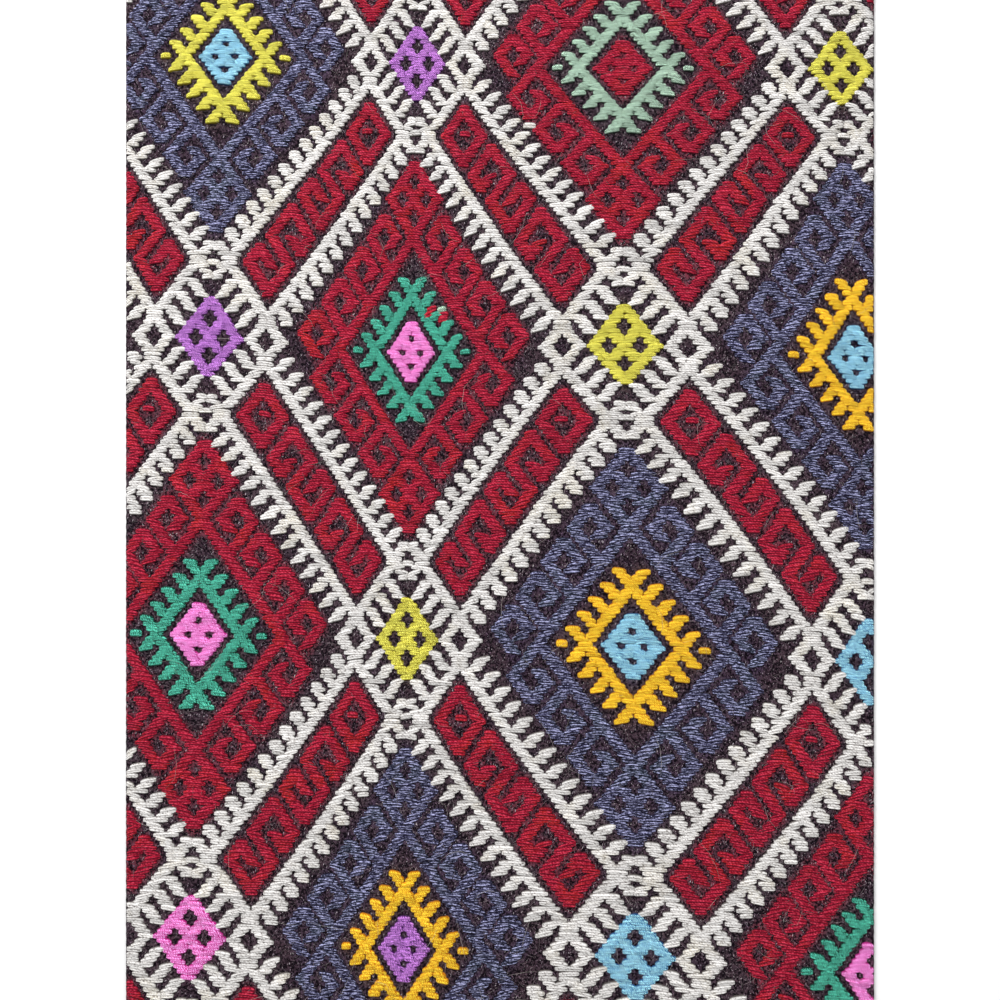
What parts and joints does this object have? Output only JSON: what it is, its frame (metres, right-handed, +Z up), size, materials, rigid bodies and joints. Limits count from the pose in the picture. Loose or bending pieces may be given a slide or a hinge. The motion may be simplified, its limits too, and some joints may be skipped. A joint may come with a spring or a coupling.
{
  "type": "cut length of brocaded wool kilim rug",
  "caption": "Flat cut length of dark wool kilim with raised brocade: hooked diamonds, small diamonds in a comb-edged lattice, and bars of S hooks.",
  "frame": {"origin": "middle of the cloth's footprint, on the surface that it lies on", "axes": "+X across the cloth along the wefts, +Y along the warps towards the wider cut end, +Z up out of the patterned face"},
  "size_m": [0.3876, 0.5287, 0.0034],
  "materials": {
    "ground_wool": "matte brown-black handspun wool, plain weave",
    "ivory_wool": "matte two-strand wool brocade",
    "crimson_wool": "matte two-strand wool brocade",
    "indigo_wool": "matte two-strand wool brocade",
    "accent_wool": "matte two-strand wool brocade in yellow, orange, green, pink, light blue and purple"
  },
  "bodies": {
    "root": {"kilim_cloth": "ground_wool"}
  },
  "joints": []
}
